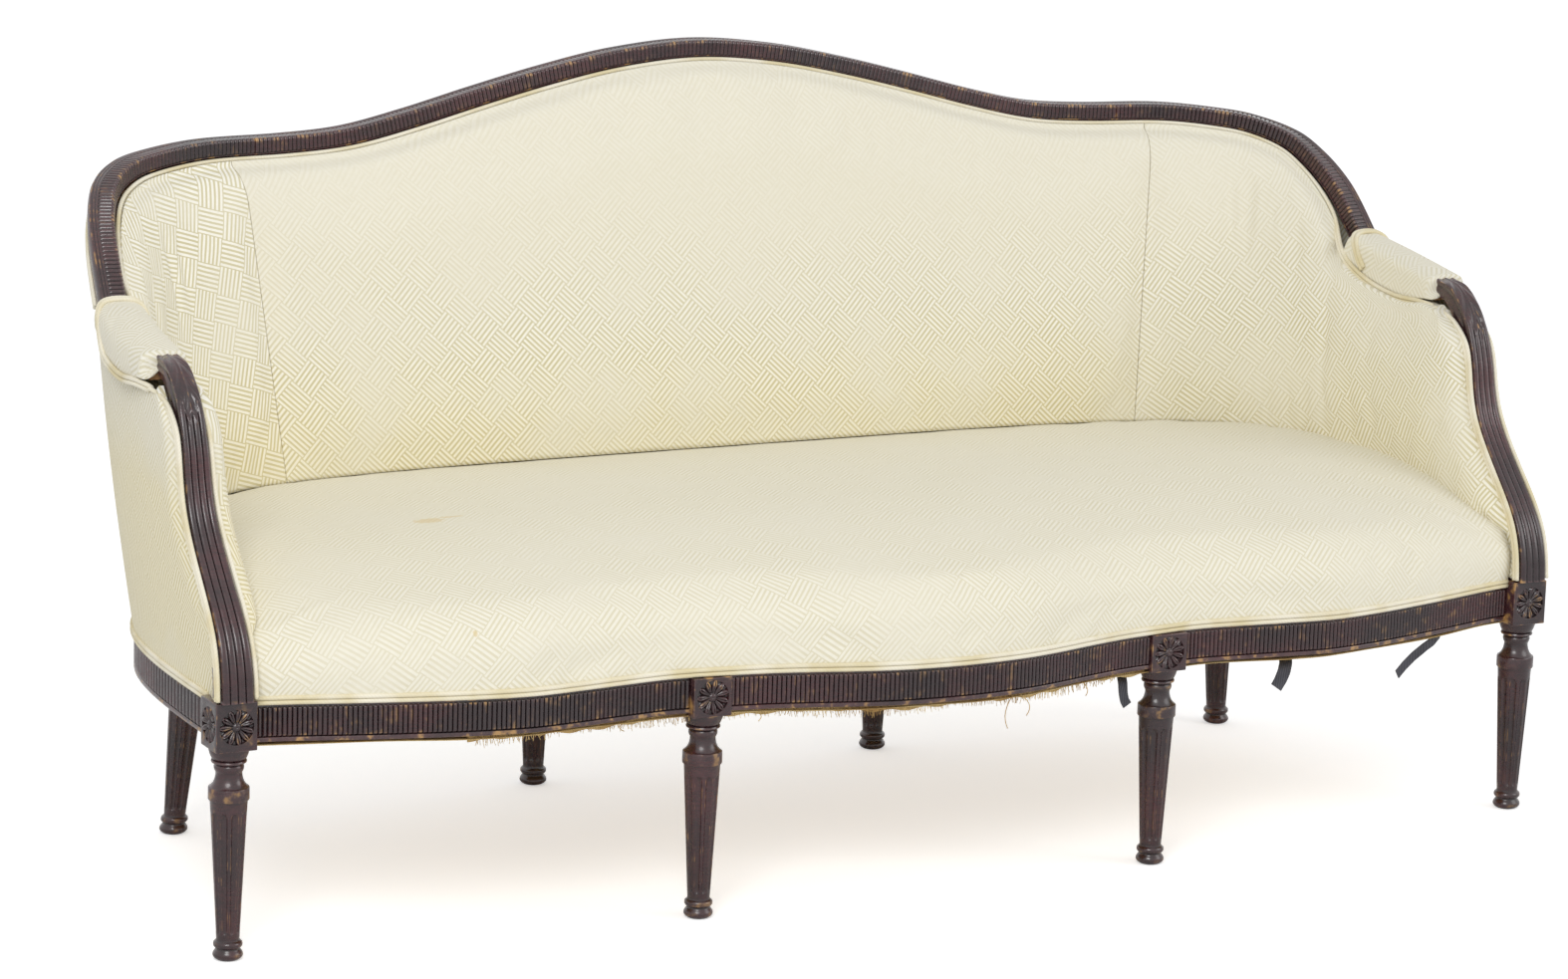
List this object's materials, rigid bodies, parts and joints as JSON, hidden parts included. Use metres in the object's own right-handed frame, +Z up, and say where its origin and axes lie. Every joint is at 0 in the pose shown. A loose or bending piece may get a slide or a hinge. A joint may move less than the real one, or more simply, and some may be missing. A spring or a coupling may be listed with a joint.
{
  "type": "camelback settee",
  "caption": "Serpentine-fronted camelback settee with tight upholstery, a ribbed show-wood frame and turned, fluted legs.",
  "frame": {"origin": "on the floor, at the middle of the bounding box", "axes": "+X along the seat, to the right as seen from the front; +Y from the front to the back; +Z up"},
  "size_m": [1.9274, 0.838, 1.0012],
  "materials": {
    "show_wood": "dark polished mahogany, worn to gold-tan on the edges",
    "frame_wood": "plain sawn beech",
    "cream_cloth": "cream cloth with a raised key-fret weave",
    "hessian": "coarse hessian",
    "webbing": "dark woven jute webbing"
  },
  "bodies": {
    "root": {"arm_pad_left": "cream_cloth", "arm_pad_right": "cream_cloth", "arm_rail_left": "frame_wood", "arm_rail_right": "frame_wood", "arm_support_left": "show_wood", "arm_support_right": "show_wood", "back_post_left": "frame_wood", "back_post_middle_left": "frame_wood", "back_post_middle_right": "frame_wood", "back_post_right": "frame_wood", "back_webbing": "webbing", "bottom_canvas": "hessian", "corner_brace_front_left": "frame_wood", "corner_brace_front_right": "frame_wood", "corner_brace_rear_left": "frame_wood", "corner_brace_rear_right": "frame_wood", "crest_rail_centre": "show_wood", "crest_rail_left": "show_wood", "crest_rail_right": "show_wood", "front_leg_left": "show_wood", "front_leg_middle_left": "show_wood", "front_leg_middle_right": "show_wood", "front_leg_right": "show_wood", "front_rail_centre": "show_wood", "front_rail_left": "show_wood", "front_rail_right": "show_wood", "inside_back_centre": "cream_cloth", "inside_back_left": "cream_cloth", "inside_back_right": "cream_cloth", "outside_arm_left": "cream_cloth", "outside_arm_right": "cream_cloth", "outside_back": "cream_cloth", "rear_leg_left": "show_wood", "rear_leg_middle_left": "show_wood", "rear_leg_middle_right": "show_wood", "rear_leg_right": "show_wood", "rear_rail_centre": "frame_wood", "rear_rail_left": "frame_wood", "rear_rail_right": "frame_wood", "rosette_front_left": "show_wood", "rosette_front_right": "show_wood", "rosette_middle_left": "show_wood", "rosette_middle_right": "show_wood", "rosette_side_left": "show_wood", "rosette_side_right": "show_wood", "seat_brace_left": "frame_wood", "seat_brace_right": "frame_wood", "seat_cover": "cream_cloth", "seat_webbing": "webbing", "side_rail_left": "show_wood", "side_rail_right": "show_wood", "side_tack_rail_left": "frame_wood", "side_tack_rail_right": "frame_wood", "tack_rail_centre": "frame_wood", "tack_rail_left": "frame_wood", "tack_rail_right": "frame_wood"}
  },
  "joints": []
}
